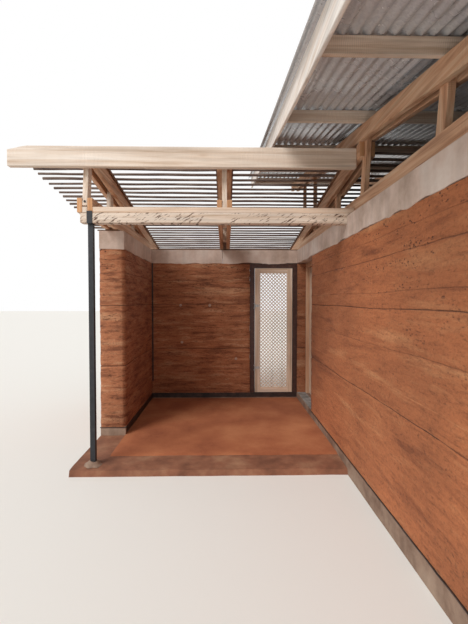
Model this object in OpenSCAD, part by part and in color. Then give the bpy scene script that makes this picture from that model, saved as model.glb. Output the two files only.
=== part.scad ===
// House of rammed earth with a porch niche, a pole lattice and a corrugated metal roof.
// Millimetres. X runs east along the porch, Y runs north into it, Z is up from level ground.
// The origin lies on the ground under the middle of the porch floor.

/* [Porch] */
// Clear width of the porch between its two side walls
porch_w = 2400; // [2200:20:2700]
// Depth of the porch from the slab's front edge to the back wall
porch_d = 2800; // [2600:20:3200]
// Length of the wing wall that closes the porch on the west
wing_l = 1800; // [1500:20:2200]
// Bevel on the inner corner of the wing wall's end
wing_bevel = 35; // [10:1:60]
// Width of the bare concrete strip along the slab's front edge
bare_strip = 350; // [200:10:500]

/* [Floors] */
// Thickness of the concrete floor slabs
slab_t = 65; // [50:1:120]
// Thickness of the earth floor laid on the slabs
earth_floor_t = 15; // [8:1:30]

/* [Room] */
// Clear length of the room, north to south
room_l = 6000; // [5600:50:7000]

/* [Walls] */
// Thickness of the rammed earth walls
wall_t = 300; // [280:5:360]
// Height of the concrete plinth above the floor
plinth_h = 85; // [60:5:140]
// Height of the earth walls between plinth and ring beam
earth_h = 2145; // [2050:5:2500]
// Depth of the concrete ring beam
ring_h = 220; // [150:5:300]
// Length of the splay at the lower edge of the ring beams
ring_arris = 12; // [5:1:20]

/* [Screen doorway] */
// Width of the doorway in the porch's back wall
screen_w = 780; // [720:10:900]
// Face width of the screen doorway's steel jambs and head
screen_jamb = 75; // [50:1:90]
// Depth of the screen doorway's steel frame
screen_frame_d = 80; // [45:1:90]
// Thickness of the steel in the screen doorway's frame
screen_steel_t = 5; // [3:0.5:8]

/* [Room doorway] */
// Width of the doorway between porch and room
doorway_w = 1100; // [1000:10:1200]
// Face width of the room doorway's timber jambs and head
door_jamb = 65; // [45:1:80]
// Depth of the room doorway's timber frame
door_frame_d = 85; // [60:1:110]
// Distance that the timber frame is set back from the wall's outer face
door_set_back = 145; // [100:5:170]

/* [Door leaves] */
// Thickness of the stiles and rails
leaf_t = 38; // [30:1:45]
// Width of the stiles and rails
stile_w = 83; // [60:1:110]
// Gap round a closed leaf
leaf_gap = 5; // [5:0.5:8]
// Thickness of the lattice in a leaf
mesh_t = 12; // [8:1:18]
// Thickness of the boards in the room's door
panel_t = 18; // [12:1:24]
// Width of the lattice strips
mesh_bar = 12; // [8:1:18]
// Distance between the crossings of the lattice, measured level
mesh_pitch = 80; // [70:1:120]

/* [Hinges] */
// Diameter of the hinge pins
pin_d = 10; // [8:1:14]
// Wall of the hinge barrels
barrel_wall = 4; // [3:0.5:6]
// Radial running clearance between pin and barrel
pin_clearance = 0.1; // [0.05:0.05:0.1]
// Height of a hinge barrel
barrel_h = 60; // [40:1:80]
// Thickness of the hinge plates
hinge_plate_t = 4; // [3:0.5:6]
// Length of the strap on the leaf
strap_l = 76; // [60:1:100]

/* [Steel post] */
// Side of the square steel post
post_side = 50; // [40:1:80]
// Wall of the steel post
post_wall = 3; // [2:0.5:5]
// Distance of the post's middle inside the outer truss's middle line
post_in = 45; // [5:5:60]

/* [Front timbers] */
// Height and depth of the sawn beam over the post
beam_side = 100; // [80:1:140]
// Distance of the beam's front face behind the slab's front edge
beam_back = 90; // [70:1:140]
// Length of the beam past the post's middle
beam_tail = 92; // [80:1:200]
// Height of the packing board on the beam
packing_h = 54; // [40:1:70]
// Thickness of the packing board
packing_t = 50; // [30:1:60]
// Height of the fascia board
fascia_h = 194; // [180:5:250]
// Distance from the poles' west ends to the fascia's end
fascia_short = 70; // [0:5:150]
// Thickness of the fascia board
fascia_t = 60; // [50:1:90]
// Length of the fascia and the poles west of the wing wall's outer face
west_overhang = 630; // [400:10:800]

/* [Trusses] */
// Thickness of every truss board
board_t = 50; // [40:1:60]
// Depth of the chords and rafters
chord_h = 140; // [120:1:170]
// Depth of the posts and webs between the boards
web_d = 100; // [80:1:120]
// Thickness of the bedding plank under the trusses
bedding_t = 20; // [10:1:30]
// Rise of the lattice chord for each unit of length
lattice_slope = 0.131; // [0.12:0.001:0.15]
// Distance from the slab's front edge out to where the rafters come down on the lattice chords
ridge_out = 35; // [10:5:150]
// Distance from the north wall to where the lattice's top edge meets the chords' top
eave = 700; // [600:10:900]
// Length of the bottom chords past the north wall
chord_over = 150; // [80:10:300]
// Length of the lattice past its heel
lattice_over = 260; // [100:10:400]
// Overhang of the trusses past the south wall
south_eave = 800; // [600:10:900]
// Distance that the metal roof runs on past the lattice at the north
verge_n = 85; // [60:5:200]

/* [Metal roof] */
// Thickness of the purlins
purlin_t = 50; // [40:1:60]
// Depth of the purlins, set on edge
purlin_h = 100; // [80:1:120]
// Distance of the lowest purlin from the rafters' tails
purlin_in = 170; // [100:10:300]
// Distance between the posts of the room's trusses
post_pitch = 1385; // [1200:5:1500]
// Overhang of the sheets past the purlins' ends
sheet_over = 60; // [20:5:100]
// Overhang of the roof past the room's west and east walls
verge = 755; // [500:5:800]
// Depth of the barge boards
barge_h = 180; // [150:5:220]
// Thickness of the barge boards
barge_t = 25; // [20:1:60]
// Distance between the corrugations of the sheets
wave_pitch = 76; // [70:1:80]
// Depth of the corrugations
wave_h = 18; // [14:1:20]
// Thickness of the sheet metal
sheet_t = 1.5; // [1:0.1:2]

/* [Pole lattice] */
// Diameter of the poles
pole_d = 30; // [25:1:60]
// Distance between poles, level
pole_pitch = 130; // [125:1:150]
// Distance of the first pole behind the slab's front edge
first_pole = 270; // [250:5:320]
// Thickness of the boards that carry the poles
batten_t = 25; // [15:1:30]
// Width of the boards that carry the poles
batten_w = 190; // [170:1:220]

/* [Hidden] */

// Plan of the walls
half_w = porch_w/2;
front_y = -porch_d/2;
back_y = porch_d/2;
north_y = back_y + wall_t;
west_out = -half_w - wall_t;
room_in = half_w + wall_t;
room_trusses = 4;
wall_truss_x = half_w + wall_t/2;
truss_pitch = wall_truss_x;
post_west = wall_truss_x - post_in;
last_truss_x = wall_truss_x + (room_trusses - 1)*truss_pitch;
east_in = last_truss_x - wall_t/2;
east_out = east_in + wall_t;
south_in = back_y - room_l;
south_y = south_in - wall_t;
wing_y = back_y - wing_l;

// Levels
floor_z = slab_t + earth_floor_t;
plinth_z = floor_z + plinth_h;
ring_z = plinth_z + earth_h;
ring_top = ring_z + ring_h;
seat_z = ring_top + bedding_t;
chord_z = seat_z + chord_h;

// Roof lines: the lattice's top edge meets the chords' top at tail_n, the rafters' at tail_s, both toe above it
toe = 8;
// Clearance under each layer that lies on a slope
lay = 0.1;
tail_n = north_y + eave;
tail_s = south_y - south_eave;
rafter_n = tail_n + verge_n;
chord_end = north_y + chord_over;
lattice_end = tail_n + lattice_over;
cross_top = front_y - ridge_out;
cross_run = cross_top - tail_s;
cross_up = lattice_slope*(tail_n - cross_top);
rafter_angle = atan(cross_up/cross_run) + asin(chord_h/norm([cross_run, cross_up]));
rafter_slope = tan(rafter_angle);
lattice_angle = atan(lattice_slope);
lattice_rise = chord_h/cos(lattice_angle);
rafter_rise = chord_h/cos(rafter_angle);
function lattice_top(y) = chord_z + toe + lattice_slope*(tail_n - y);
function lattice_low(y) = lattice_top(y) - lattice_rise;
function rafter_top(y) = chord_z + toe + rafter_slope*(y - tail_s);
function rafter_low(y) = rafter_top(y) - rafter_rise;
lattice_heel_y = tail_n - (lattice_rise - toe)/lattice_slope;
rafter_heel_y = tail_s + (rafter_rise - toe)/rafter_slope;

// Trusses: the first stands on the wing wall, the second over the porch's middle, the rest over the room
truss_w = 3*board_t;
porch_truss_x = [wall_truss_x - 2*truss_pitch, wall_truss_x - truss_pitch];
room_truss_x = [for (i = [0:room_trusses - 1]) wall_truss_x + i*truss_pitch];
beam_front = front_y + beam_back;
fascia_back = beam_front + 10;
fascia_front = fascia_back - fascia_t;
fascia_top = lattice_top(fascia_back) - 16;
web_low = 20;
web_gap = 8;
web_back = [910, 2100];
ridge_y = front_y;
rafter_post_y = [for (k = [0:2]) ridge_y - k*post_pitch];

// Pole rows
pole_n = floor((lattice_end - 20 - (front_y + first_pole))/pole_pitch) + 1;
function pole_y(i) = front_y + first_pole + i*pole_pitch;
pole_clear = 12;
room_rows = [for (i = [0:pole_n - 1])
    if (lattice_top(pole_y(i)) + batten_t + pole_d + pole_clear < rafter_low(pole_y(i))) i];
batten_y = pole_y(room_rows[0]) - pole_d;
stud_rows = [room_rows[0] + 4, room_rows[0] + 14, room_rows[0] + 20];
stud_d = 50;
stud_clear = 3;
pole_end_w = west_out - west_overhang;
pole_joint_x = wall_truss_x - truss_w/2 - 8;
pole_end_e = east_out + west_overhang;

// Purlins
purlin_n = 7;
purlin_first = tail_s + purlin_in;
purlin_last = rafter_n - purlin_t/2 - 10;
purlin_y = [for (k = [0:purlin_n - 1]) purlin_first + k*(purlin_last - purlin_first)/(purlin_n - 1)];
purlin_w = half_w - verge + sheet_over + barge_t;
purlin_e = east_out + verge - sheet_over - barge_t;

// Doors
screen_x = half_w - screen_w;
screen_leaf_x = screen_x + screen_jamb + leaf_gap;
screen_leaf_w = screen_w - 2*screen_jamb - 2*leaf_gap;
screen_axis = [screen_x + screen_jamb + leaf_gap/2, back_y - pin_d/2 - barrel_wall - 1];
door_y = back_y - doorway_w;
door_front = half_w + door_set_back;
door_back = door_front + door_frame_d;
door_leaf_w = doorway_w - 2*door_jamb - 2*leaf_gap;
door_axis = [door_back + pin_d/2 + barrel_wall + 1, back_y - door_jamb - leaf_gap/2];
leaf_low = plinth_z + leaf_gap;
screen_leaf_h = earth_h - screen_jamb - 2*leaf_gap;
door_leaf_h = earth_h - door_jamb - 2*leaf_gap;
hinge_up = [0.2, 0.7];
strap_h = 40;
pin_over = 12;
earth_red = "#a4552f";
concrete = "#a59d92";
timber = "#b98a5e";
round_fn = 48;

// Box from its lowest to its highest corner
module block(low, high) {
    translate(low) cube(high - low);
}

// Board of thickness t whose side outline is drawn in Y and Z, standing at x
module side_board(x, t, outline) {
    translate([x, 0, 0]) rotate([90, 0, 90]) linear_extrude(t) polygon(outline);
}

// The same outline cut twice, one board on each side of a truss's middle
module board_pair(x, outline) {
    for (side = [-1, 1])
        side_board(x + side*board_t - board_t/2, board_t, outline);
}

// Outline of a straight post between two points on its middle line
function post_outline(low, high, d) =
    let (dir = (high - low)/norm(high - low), off = [dir[1], -dir[0]]*d/2)
    [low - off, high - off, high + off, low + off];

// Ring beam: a bar with both lower edges splayed, drawn along X
module ring_bar(length) {
    rotate([90, 0, 90]) linear_extrude(length)
        polygon([[ring_arris, 0], [wall_t - ring_arris, 0], [wall_t, ring_arris],
            [wall_t, ring_h], [0, ring_h], [0, ring_arris]]);
}

// Floors
module porch_slab() {
    color(concrete) linear_extrude(slab_t)
        polygon([[west_out, front_y], [half_w, front_y], [half_w, back_y],
            [-half_w, back_y], [-half_w, wing_y], [west_out, wing_y]]);
}
module porch_floor() {
    color("#9c4f2e")
        block([-half_w, front_y + bare_strip, slab_t], [half_w, back_y, floor_z]);
}
module room_floor() {
    color("#9c4f2e") block([room_in, south_in, 0], [east_in, back_y, floor_z]);
}

// Plinths; those under the doorways are their raised thresholds
module wing_plinth() {
    color(concrete) block([west_out, wing_y, 0], [-half_w, back_y, plinth_z]);
}
module north_plinth() {
    color(concrete) block([west_out, back_y, 0], [east_out, north_y, plinth_z]);
}
module side_plinths() {
    color(concrete) {
        block([half_w, south_y, 0], [room_in, back_y, plinth_z]);
        block([east_in, south_y, 0], [east_out, back_y, plinth_z]);
    }
}
module south_plinth() {
    color(concrete) block([room_in, south_y, 0], [east_in, south_in, plinth_z]);
}

// Rammed earth walls, each running from the plinth up to the ring beam
module wing_wall() {
    color(earth_red) translate([0, 0, plinth_z]) linear_extrude(earth_h)
        polygon([[west_out, wing_y], [-half_w - wing_bevel, wing_y],
            [-half_w, wing_y + wing_bevel], [-half_w, back_y], [west_out, back_y]]);
}
module north_wall() {
    color(earth_red) {
        block([west_out, back_y, plinth_z], [screen_x, north_y, ring_z]);
        block([half_w, back_y, plinth_z], [east_out, north_y, ring_z]);
    }
}
module west_wall() {
    color(earth_red) block([half_w, south_y, plinth_z], [room_in, door_y, ring_z]);
}
module south_wall() {
    color(earth_red) block([room_in, south_y, plinth_z], [east_in, south_in, ring_z]);
}
module east_wall() {
    color(earth_red) block([east_in, south_y, plinth_z], [east_out, back_y, ring_z]);
}

// Ring beams, which also bridge the two doorways
module wing_ring_beam() {
    color(concrete) translate([-half_w, wing_y, ring_z]) rotate(90) ring_bar(wing_l);
}
module north_ring_beam() {
    color(concrete) translate([west_out, back_y, ring_z]) ring_bar(east_out - west_out);
}
module side_ring_beams() {
    color(concrete) {
        difference() {
            translate([room_in, south_y, ring_z]) rotate(90) ring_bar(back_y - south_y);
            beam_pocket();
        }
        translate([east_out, south_y, ring_z]) rotate(90) ring_bar(back_y - south_y);
    }
}
module south_ring_beam() {
    color(concrete) translate([room_in, south_y, ring_z]) ring_bar(east_in - room_in);
}
beam_pocket_d = 80;
module beam_pocket() {
    block([half_w - 1, beam_front, seat_z - beam_side],
        [half_w + beam_pocket_d, beam_front + beam_side, ring_top + 1]);
}

// Steel frame of the screen doorway: angle jambs and head, legs turned back into the opening
module screen_frame() {
    color("#23262b") difference() {
        block([screen_x, back_y, plinth_z], [half_w, back_y + screen_frame_d, ring_z]);
        block([screen_x + screen_jamb, back_y - 1, plinth_z - 1],
            [half_w - screen_jamb, back_y + screen_frame_d + 1, ring_z - screen_jamb]);
        block([screen_x + screen_steel_t, back_y + screen_steel_t, plinth_z - 1],
            [screen_x + screen_jamb - screen_steel_t, back_y + screen_frame_d + 1, ring_z - screen_steel_t]);
        block([half_w - screen_jamb + screen_steel_t, back_y + screen_steel_t, plinth_z - 1],
            [half_w - screen_steel_t, back_y + screen_frame_d + 1, ring_z - screen_steel_t]);
        block([screen_x + screen_steel_t, back_y + screen_steel_t, ring_z - screen_jamb + screen_steel_t],
            [half_w - screen_steel_t, back_y + screen_frame_d + 1, ring_z - screen_steel_t]);
    }
}

// Leaf drawn flat: width along X, height along Z, thickness along Y from its front face
module leaf_frame(w, h) {
    rotate([90, 0, 0]) translate([0, 0, -leaf_t]) linear_extrude(leaf_t) difference() {
        square([w, h]);
        translate([stile_w, stile_w]) square([w - 2*stile_w, h - 2*stile_w]);
    }
}

// Diamond lattice between the stiles, cut as one sheet so that its strips join where they cross
module leaf_mesh(w, h) {
    iw = w - 2*stile_w;
    ih = h - 2*stile_w;
    cell = mesh_pitch/sqrt(2) - mesh_bar;
    nx = ceil(iw/mesh_pitch) + 1;
    nz = ceil(ih/mesh_pitch) + 1;
    translate([stile_w, (leaf_t - mesh_t)/2, stile_w])
        rotate([90, 0, 0]) translate([0, 0, -mesh_t]) linear_extrude(mesh_t) difference() {
            square([iw, ih]);
            intersection() {
                translate([mesh_bar/2, mesh_bar/2]) square([iw - mesh_bar, ih - mesh_bar]);
                for (i = [0:2*nx], k = [0:2*nz])
                    if ((i + k) % 2 == 0)
                        translate([i*mesh_pitch/2, k*mesh_pitch/2]) rotate(45)
                            square(cell, center = true);
            }
        }
}

module screen_leaf() {
    color("#cfc0a2") translate([screen_leaf_x, back_y, leaf_low])
        leaf_frame(screen_leaf_w, screen_leaf_h);
}
module screen_mesh() {
    color("#e4ddcc") translate([screen_leaf_x, back_y, leaf_low])
        leaf_mesh(screen_leaf_w, screen_leaf_h);
}

// Timber frame of the room doorway
module door_frame() {
    color(timber) difference() {
        block([door_front, door_y, plinth_z], [door_back, back_y, ring_z]);
        block([door_front - 1, door_y + door_jamb, plinth_z - 1],
            [door_back + 1, back_y - door_jamb, ring_z - door_jamb]);
    }
}
module door_place() {
    translate([door_back, door_y + door_jamb + leaf_gap, leaf_low]) rotate(90) children();
}
module door_leaf() {
    color("#cfc0a2") door_place() leaf_frame(door_leaf_w, door_leaf_h);
}
module door_panel() {
    color("#cfc0a2") door_place()
        block([stile_w, (leaf_t - panel_t)/2, stile_w],
            [door_leaf_w - stile_w, (leaf_t + panel_t)/2, door_leaf_h - stile_w]);
}

// Hinge drawn about its pin: the leaf lies along +X with its face at y = face
module hinge_strap(face) {
    difference() {
        union() {
            cylinder(h = barrel_h, d = pin_d + 2*barrel_wall + 2*pin_clearance, $fn = round_fn);
            translate([0, face - hinge_plate_t, (barrel_h - strap_h)/2])
                cube([strap_l, hinge_plate_t, strap_h]);
        }
        translate([0, 0, -1])
            cylinder(h = barrel_h + 2, d = pin_d + 2*pin_clearance, $fn = round_fn);
    }
}
module hinge_pin(face) {
    ledge = 6;
    translate([0, 0, -pin_over]) {
        cylinder(h = barrel_h + 2*pin_over, d = pin_d, $fn = round_fn);
        for (z = [0, barrel_h + 2*pin_over - ledge])
            translate([-strap_h/2, -pin_d/2, z]) cube([strap_h/2, face + pin_d/2, ledge]);
    }
}
function hinge_z(h) = [for (s = hinge_up) leaf_low + s*h - barrel_h/2];
screen_face = back_y - screen_axis[1];
door_face = door_axis[0] - door_back;
module screen_hinge_place() {
    for (z = hinge_z(screen_leaf_h)) translate([screen_axis[0], screen_axis[1], z]) children();
}
module door_hinge_place() {
    for (z = hinge_z(door_leaf_h))
        translate([door_axis[0], door_axis[1], z]) rotate(-90) mirror([0, 1, 0]) children();
}
module screen_hinge_straps() {
    color("#3a3c40") screen_hinge_place() hinge_strap(screen_face);
}
module door_hinge_straps() {
    color("#3a3c40") door_hinge_place() hinge_strap(door_face);
}
module hinge_pins() {
    color("#3a3c40") {
        screen_hinge_place() hinge_pin(screen_face);
        door_hinge_place() hinge_pin(door_face);
    }
}

// Square steel tube with a saddle that holds the beam from below, before and behind
module steel_post() {
    x0 = -post_west - post_side/2;
    y0 = beam_front + beam_side/2 - post_side/2;
    high = seat_z - beam_side;
    plate_t = 5;
    saddle_in = x0 - 2;
    saddle_out = x0 + post_side + 2;
    color("#23262b") {
        difference() {
            block([x0, y0, slab_t], [x0 + post_side, y0 + post_side, high]);
            block([x0 + post_wall, y0 + post_wall, slab_t - 1],
                [x0 + post_side - post_wall, y0 + post_side - post_wall, high - plate_t]);
        }
        block([saddle_in, beam_front - plate_t, high - plate_t],
            [saddle_out, beam_front + beam_side + plate_t, high]);
        block([saddle_in, beam_front - plate_t, high - plate_t], [saddle_out, beam_front, seat_z + 15]);
        block([saddle_in, beam_front + beam_side, high - plate_t],
            [saddle_out, beam_front + beam_side + plate_t, seat_z - 5]);
    }
}
module front_beam() {
    color(timber) block([-post_west - beam_tail, beam_front, seat_z - beam_side],
        [half_w + beam_pocket_d, beam_front + beam_side, seat_z]);
}
module packing_board() {
    color(timber) block([porch_truss_x[0] + truss_w/2, beam_front, seat_z],
        [wall_truss_x - truss_w/2, beam_front + packing_t, seat_z + packing_h]);
}
module front_fascia() {
    color("#c9a47c") block([pole_end_w + fascia_short, fascia_front, fascia_top - fascia_h],
        [wall_truss_x - truss_w/2, fascia_back, fascia_top]);
}

// Planks that bed the trusses on the ring beams
module bedding_planks() {
    gap = 4;
    color(timber) {
        block([west_out, back_y + wall_t/4, ring_top], [east_out, north_y - wall_t/4, seat_z]);
        block([room_in, south_y + wall_t/4, ring_top], [east_in, south_in - wall_t/4, seat_z]);
        block([porch_truss_x[0] - truss_w/2, wing_y, ring_top],
            [porch_truss_x[0] + truss_w/2, back_y + wall_t/4 - gap, seat_z]);
        for (x = [wall_truss_x, last_truss_x])
            block([x - truss_w/2, x == wall_truss_x ? beam_front + beam_side + gap : south_y, ring_top],
                [x + truss_w/2, back_y + wall_t/4 - gap, seat_z]);
        block([wall_truss_x - truss_w/2, south_y, ring_top],
            [wall_truss_x + truss_w/2, beam_front - gap, seat_z]);
    }
}

// Chords and rafters, always two boards with the posts between them; each lattice chord lies on
// its bottom chord and runs on past it
lattice_tail = [[lattice_heel_y, chord_z], [chord_end, chord_z], [chord_end, lattice_low(chord_end)],
    [lattice_end, lattice_low(lattice_end)], [lattice_end, lattice_top(lattice_end)]];
module porch_bottom_chords() {
    color(timber) for (i = [0, 1])
        board_pair(porch_truss_x[i], let (y = beam_front + i*packing_t)
            [[y, seat_z], [chord_end, seat_z], [chord_end, chord_z], [y, chord_z]]);
}
module room_bottom_chords() {
    color(timber) for (x = room_truss_x)
        board_pair(x, [[tail_s, seat_z], [chord_end, seat_z], [chord_end, chord_z], [tail_s, chord_z]]);
}
module porch_lattice_chords() {
    color(timber) for (x = porch_truss_x)
        board_pair(x, concat([[fascia_back, lattice_low(fascia_back)]], lattice_tail,
            [[fascia_back, lattice_top(fascia_back)]]));
}
module room_lattice_chords() {
    color(timber) for (x = room_truss_x)
        board_pair(x, concat([[cross_top, lattice_low(cross_top)]], lattice_tail,
            [[cross_top, rafter_low(cross_top)]]));
}
module room_rafters() {
    color(timber) for (x = room_truss_x)
        board_pair(x, [[tail_s, chord_z], [rafter_heel_y, chord_z], [rafter_n, rafter_low(rafter_n)],
            [rafter_n, rafter_top(rafter_n)], [tail_s, chord_z + toe]]);
}

// Webs of the porch trusses, square to the lattice chord; the first stands over a packer on the beam
module lattice_web(x, y, z) {
    high = lattice_top(y) - 30;
    run = (high - z)*lattice_slope;
    side_board(x - board_t/2, board_t, post_outline([y, z], [y + run, high - run*lattice_slope], web_d));
}
module porch_webs() {
    color(timber) for (i = [0, 1]) {
        x = porch_truss_x[i];
        y = beam_front + i*packing_t;
        lattice_web(x, y + web_d/2, seat_z + (i == 0 ? packing_h + web_gap : web_low));
        for (back = web_back) lattice_web(x, front_y + back, seat_z + web_low);
        if (i == 0) block([x - board_t/2, y, seat_z], [x + board_t/2, y + web_d, seat_z + packing_h]);
    }
}

// Posts of the room trusses: square to the rafter towards the south, webs and studs to the north
module room_posts() {
    color(timber) for (x = room_truss_x) {
        for (y = rafter_post_y) {
            high = rafter_top(y) - 25;
            run = (high - seat_z - web_low)*rafter_slope;
            side_board(x - board_t/2, board_t,
                post_outline([y + run/2, seat_z + web_low], [y - run/2, high - run*rafter_slope/2], web_d));
        }
        for (back = web_back) lattice_web(x, front_y + back, seat_z + web_low);
        for (k = stud_rows) let (y = pole_y(k) + pole_pitch/2)
            side_board(x - board_t/2, board_t,
                post_outline([y, lattice_top(y) - 20], [y, rafter_top(y) - 15], stud_d));
    }
}

// Boards on the lattice chords that carry the poles; the room's are notched round the studs
module pole_board(x, y) {
    translate([x - batten_w/2, y, lattice_top(y) + lay]) rotate([-lattice_angle, 0, 0])
        cube([batten_w, (lattice_end - y)/cos(lattice_angle), batten_t]);
}
module pole_boards() {
    color("#7a5a40") {
        for (x = porch_truss_x) pole_board(x, pole_y(0) - pole_d);
        for (x = room_truss_x) difference() {
            pole_board(x, batten_y);
            for (k = stud_rows) let (y = pole_y(k) + pole_pitch/2)
                block([x - board_t/2 - stud_clear, y - stud_d/2 - stud_clear, lattice_low(y)],
                    [x + board_t/2 + stud_clear, y + stud_d/2 + stud_clear, rafter_top(y)]);
        }
    }
}

// Round poles across the trusses, each drawn with eight sides and one of them flat on the boards
module pole(i, x0, x1) {
    rise = (batten_t + pole_d/2)/cos(lattice_angle) + 2*lay;
    translate([x0, pole_y(i), lattice_top(pole_y(i)) + rise])
        rotate([-lattice_angle, 0, 0]) rotate([0, 90, 0]) rotate(22.5)
            cylinder(h = x1 - x0, d = pole_d/cos(22.5), $fn = 8);
}
module porch_poles() {
    color("#8a7a6a") for (i = [0:pole_n - 1]) pole(i, pole_end_w, pole_joint_x);
}
module room_poles() {
    color("#8a7a6a") for (i = room_rows) pole(i, pole_joint_x + 6, pole_end_e);
}

// Place on the rafters' top line at y, tilted with the roof
module on_rafters(y) {
    translate([0, y, rafter_top(y)]) rotate([rafter_angle, 0, 0]) children();
}
module purlins() {
    color(timber) for (y = purlin_y)
        on_rafters(y) translate([purlin_w, -purlin_t/2, lay])
            cube([purlin_e - purlin_w, purlin_t, purlin_h]);
}

// Corrugated sheets: one wavy outline drawn across the roof and run up the slope
wave_steps = 6;
wave_n = floor((purlin_e - purlin_w + 2*barge_t + 2*sheet_over)/wave_pitch);
wave_x = (purlin_w + purlin_e - wave_n*wave_pitch)/2;
function wave(i) = [i*wave_pitch/wave_steps, wave_h/2*(1 - cos(360*i/wave_steps))];
sheet_low = tail_s - 60;
roof_l = (rafter_n + 25 - sheet_low)/cos(rafter_angle);
module roof_sheets() {
    low = [for (i = [0:wave_n*wave_steps]) wave(i)];
    high = [for (i = [wave_n*wave_steps:-1:0]) wave(i) + [0, sheet_t]];
    color("#9ba1a6") on_rafters(sheet_low) translate([wave_x, 0, purlin_h + 2*lay])
        translate([0, roof_l, 0]) rotate([90, 0, 0]) linear_extrude(roof_l)
            polygon(concat(low, high));
}
module barge_boards() {
    length = (rafter_n - tail_s)/cos(rafter_angle);
    color("#d9c8ac") for (x = [purlin_w - barge_t, purlin_e])
        on_rafters(tail_s) translate([x, 0, purlin_h - barge_h]) cube([barge_t, length, barge_h]);
}

porch_slab();
porch_floor();
room_floor();
wing_plinth();
north_plinth();
side_plinths();
south_plinth();
wing_wall();
north_wall();
west_wall();
south_wall();
east_wall();
wing_ring_beam();
north_ring_beam();
side_ring_beams();
south_ring_beam();
screen_frame();
screen_leaf();
screen_mesh();
screen_hinge_straps();
door_frame();
door_leaf();
door_panel();
door_hinge_straps();
hinge_pins();
steel_post();
front_beam();
packing_board();
front_fascia();
bedding_planks();
porch_bottom_chords();
porch_lattice_chords();
porch_webs();
room_bottom_chords();
room_rafters();
room_lattice_chords();
room_posts();
pole_boards();
porch_poles();
room_poles();
purlins();
roof_sheets();
barge_boards();
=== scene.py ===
import bpy, bmesh, functools, math
from mathutils import Vector, Matrix, noise


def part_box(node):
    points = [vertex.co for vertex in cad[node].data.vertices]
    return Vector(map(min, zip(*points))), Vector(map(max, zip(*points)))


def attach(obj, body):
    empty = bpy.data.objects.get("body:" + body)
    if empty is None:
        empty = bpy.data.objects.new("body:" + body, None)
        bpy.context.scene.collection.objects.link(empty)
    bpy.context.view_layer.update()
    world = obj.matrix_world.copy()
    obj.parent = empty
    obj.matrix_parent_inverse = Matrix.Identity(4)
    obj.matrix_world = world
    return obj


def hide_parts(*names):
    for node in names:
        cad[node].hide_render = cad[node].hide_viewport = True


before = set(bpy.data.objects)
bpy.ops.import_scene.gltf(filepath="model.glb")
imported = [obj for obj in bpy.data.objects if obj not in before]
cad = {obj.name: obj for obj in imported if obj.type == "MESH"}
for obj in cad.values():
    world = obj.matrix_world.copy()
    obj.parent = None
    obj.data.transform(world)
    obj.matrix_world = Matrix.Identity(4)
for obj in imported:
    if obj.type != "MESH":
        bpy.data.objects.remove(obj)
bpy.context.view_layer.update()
print("frame loaded, nodes:", len(cad))


def addObject(name, data):
    made = bpy.data.objects.new(name, data)
    bpy.context.scene.collection.objects.link(made)
    return made


def addMeshObject(name, mesh):
    data = bpy.data.meshes.new(name)
    mesh.to_mesh(data)
    mesh.free()
    return addObject(name, data)


# The photograph's view, from standing height in front of the porch
photoCamera = {"place": (0.006, -5.23, 1.698), "turn": 0.022, "dip": 0.0286, "lens": 30.77, "sensor": 36}


def addCamera(view):
    data = bpy.data.cameras.new("photoCamera")
    data.sensor_fit, data.sensor_width, data.lens = "HORIZONTAL", view["sensor"], view["lens"]
    camera = addObject("photoCamera", data)
    camera.location = view["place"]
    camera.rotation_euler = (math.pi/2 - view["dip"], 0, -view["turn"])
    bpy.context.scene.camera = camera


addCamera(photoCamera)
bpy.context.scene.view_settings.view_transform = "Standard"


def colour(code):  # sRGB hex to the linear values that Blender mixes
    parts = [int(code[i:i + 2], 16)/255 for i in (1, 3, 5)]
    return tuple(c/12.92 if c <= 0.04045 else ((c + 0.055)/1.055)**2.4 for c in parts) + (1.0,)


def addNode(tree, kind, settings=None, links=None):
    # links name an input and what feeds it: a socket, or a node for its first output
    node = tree.nodes.new("ShaderNode" + kind)
    for key, value in (settings or {}).items():
        if key == "stops":  # a ramp: each stop's position, and its hex colour or linear grey
            ramp = node.color_ramp
            while len(ramp.elements) < len(value):
                ramp.elements.new(1.0)
            for element, (where, shade) in zip(ramp.elements, value):
                element.position = where
                element.color = colour(shade) if isinstance(shade, str) else (shade, shade, shade, 1.0)
        elif isinstance(key, int) or key in node.inputs:
            node.inputs[key].default_value = value
        else:
            setattr(node, key, value)
    for key, source in (links or {}).items():
        socket = source if isinstance(source, bpy.types.NodeSocket) else source.outputs[0]
        tree.links.new(socket, node.inputs[key])
    return node


def startMaterial(name, roughness, metallic=0.0):
    material = bpy.data.materials.new(name)
    material.use_nodes = True
    tree = material.node_tree
    shader = tree.nodes["Principled BSDF"]
    shader.inputs["Roughness"].default_value = roughness
    shader.inputs["Metallic"].default_value = metallic
    add = functools.partial(addNode, tree)
    return material, add, shader, add("TexCoord").outputs["Object"]


def feedShader(shader, sources):  # joins the first output of each node to the socket it is named for
    for socket, source in sources.items():
        shader.id_data.links.new(source.outputs[0], shader.inputs[socket])


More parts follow.
